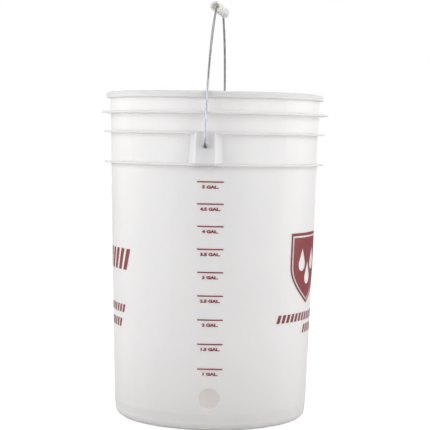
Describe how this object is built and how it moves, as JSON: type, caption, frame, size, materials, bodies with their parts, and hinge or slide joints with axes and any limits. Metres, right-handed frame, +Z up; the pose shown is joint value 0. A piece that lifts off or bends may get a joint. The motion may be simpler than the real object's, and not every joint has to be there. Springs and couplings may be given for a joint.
{
  "type": "plastic fermenting bucket",
  "caption": "Open tapered plastic fermenting pail with reinforcing rings, ear boxes, a low tap hole, a swinging wire bail and a loose tube grip.",
  "frame": {"origin": "centre of the foot's contact plane, on the pail's axis", "axes": "+Z up along the pail's axis, +Y along the bail's pivot axis towards the ear that is further from the tap hole"},
  "size_m": [0.3176, 0.3272, 0.5765],
  "materials": {
    "bucket_plastic": "natural translucent polyethylene, satin, as moulded",
    "bail_steel": "galvanised wire, dull",
    "grip_plastic": "white moulded plastic, satin",
    "scale_ink": "screen-printed ink, dark red"
  },
  "bodies": {
    "bucket": {"bucket": "bucket_plastic"},
    "bail": {"bail_wire": "bail_steel"},
    "grip": {"grip": "grip_plastic"}
  },
  "joints": [
    {"name": "bail_swing", "type": "hinge", "parent": "bucket", "child": "bail", "pos_m": [0, 0, 0.3792], "axis": [0, 1, 0], "range_deg": [-127.2, 124.7]},
    {"name": "grip_spin", "type": "hinge", "parent": "bail", "child": "grip", "pos_m": [0.00425, 0, 0.56939], "axis": [0.048, 0.9988, -0.0011], "continuous": true}
  ]
}
